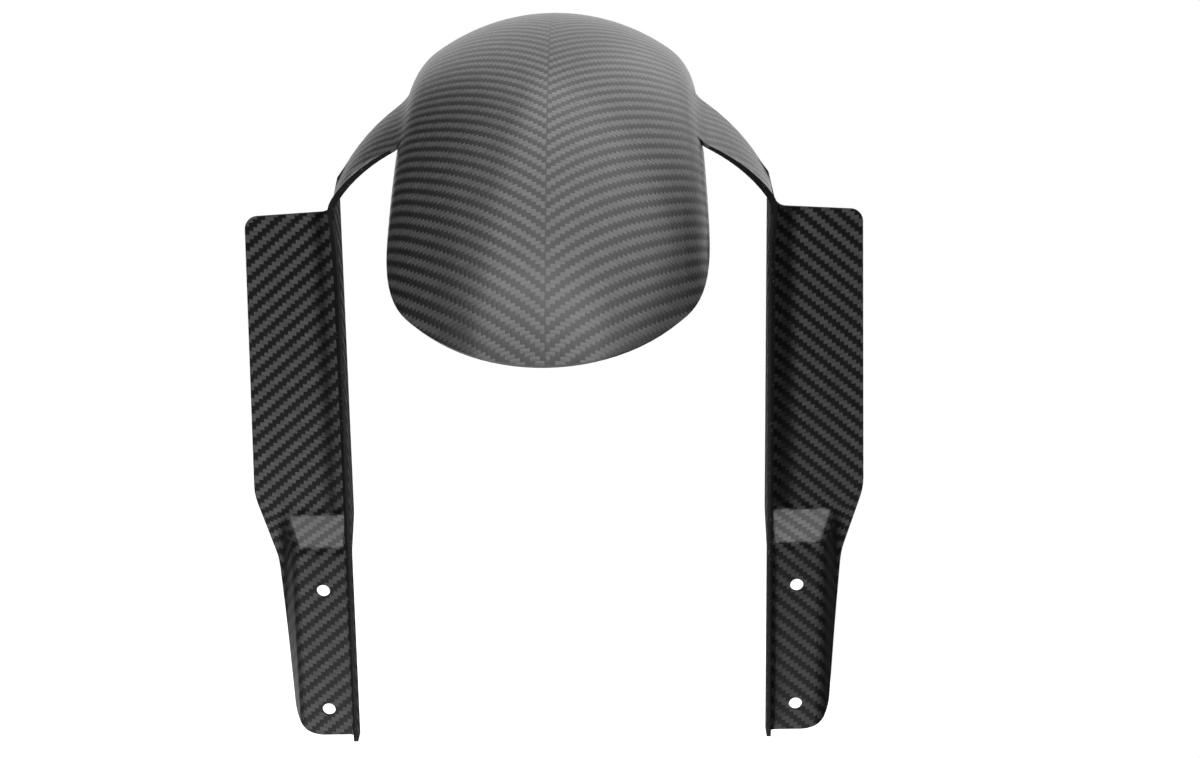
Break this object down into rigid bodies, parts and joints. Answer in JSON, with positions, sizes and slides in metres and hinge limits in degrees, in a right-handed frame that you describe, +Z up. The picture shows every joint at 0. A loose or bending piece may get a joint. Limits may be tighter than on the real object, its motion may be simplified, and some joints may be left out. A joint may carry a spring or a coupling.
{
  "type": "front mudguard",
  "caption": "Carbon-fibre mudguard with a short dome over the tyre and an arm on each side that turns down into a flanged fork-guard leg with a stepped, drilled foot.",
  "frame": {"origin": "centre of the rectangle of bolt holes in the feet, on the plane of the faces that meet the fork", "axes": "+X across the bike, -Y towards the front of the bike, +Z up along the fork legs"},
  "size_m": [0.3014, 0.3465, 0.3515],
  "materials": {
    "carbon": "satin clear coat over woven carbon fibre"
  },
  "bodies": {
    "root": {"mudguard": "carbon"}
  },
  "joints": []
}
